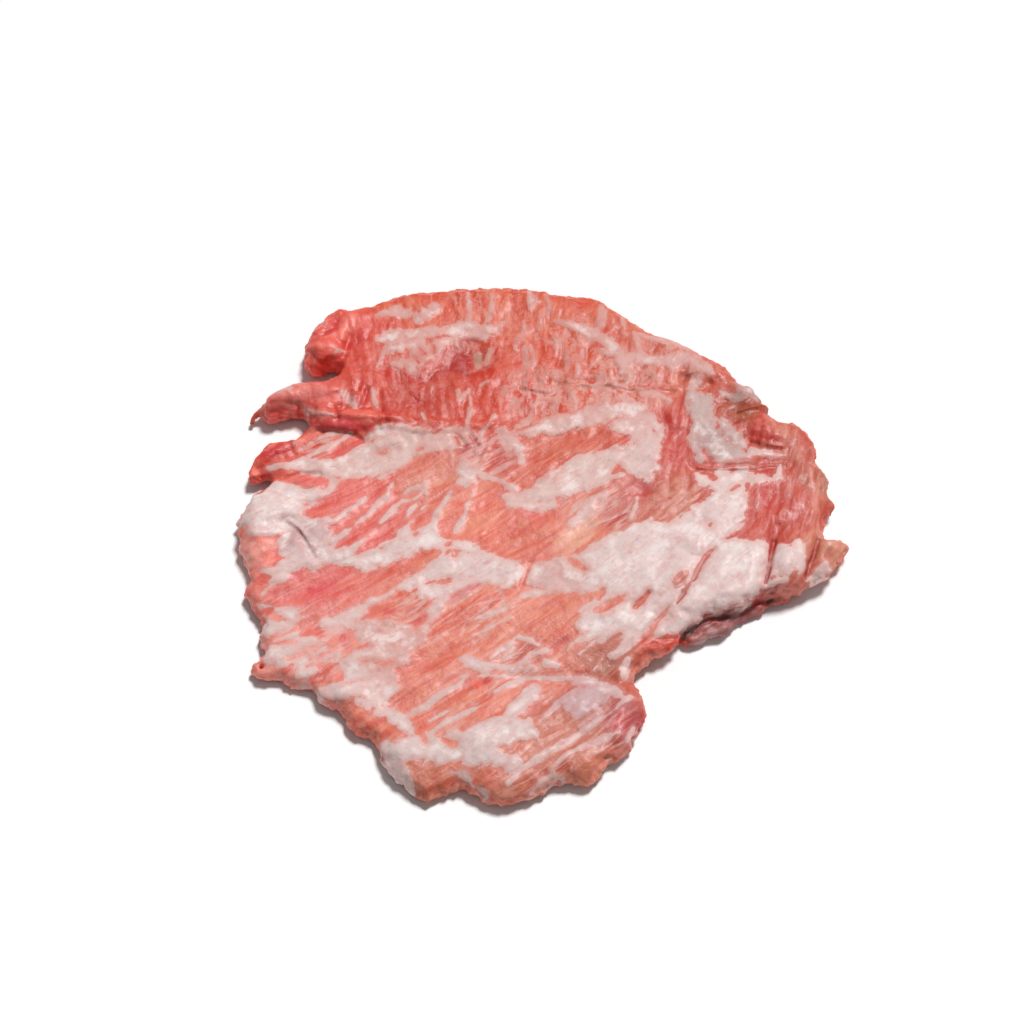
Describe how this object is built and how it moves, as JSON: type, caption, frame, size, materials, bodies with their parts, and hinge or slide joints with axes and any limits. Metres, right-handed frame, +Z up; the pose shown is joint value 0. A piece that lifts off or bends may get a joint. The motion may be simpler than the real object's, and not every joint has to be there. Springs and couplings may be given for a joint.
{
  "type": "iberian pork secreto",
  "caption": "Raw Iberian pork secreto: a thin, fan-shaped cut laid flat, heavily marbled, with finger-like flaps, a folded edge and a ragged outline.",
  "frame": {"origin": "on the surface that the meat lies on, under the middle of the box round it", "axes": "+Z up out of the shown face, +Y towards the far edge of the upper flap, +X towards the nose of the folded edge"},
  "size_m": [0.2608, 0.2668, 0.016],
  "materials": {
    "raw_pork": "moist raw pork: salmon-red lean streaked with pale pinkish-white fat, soft gloss"
  },
  "bodies": {
    "root": {"secreto": "raw_pork"}
  },
  "joints": []
}
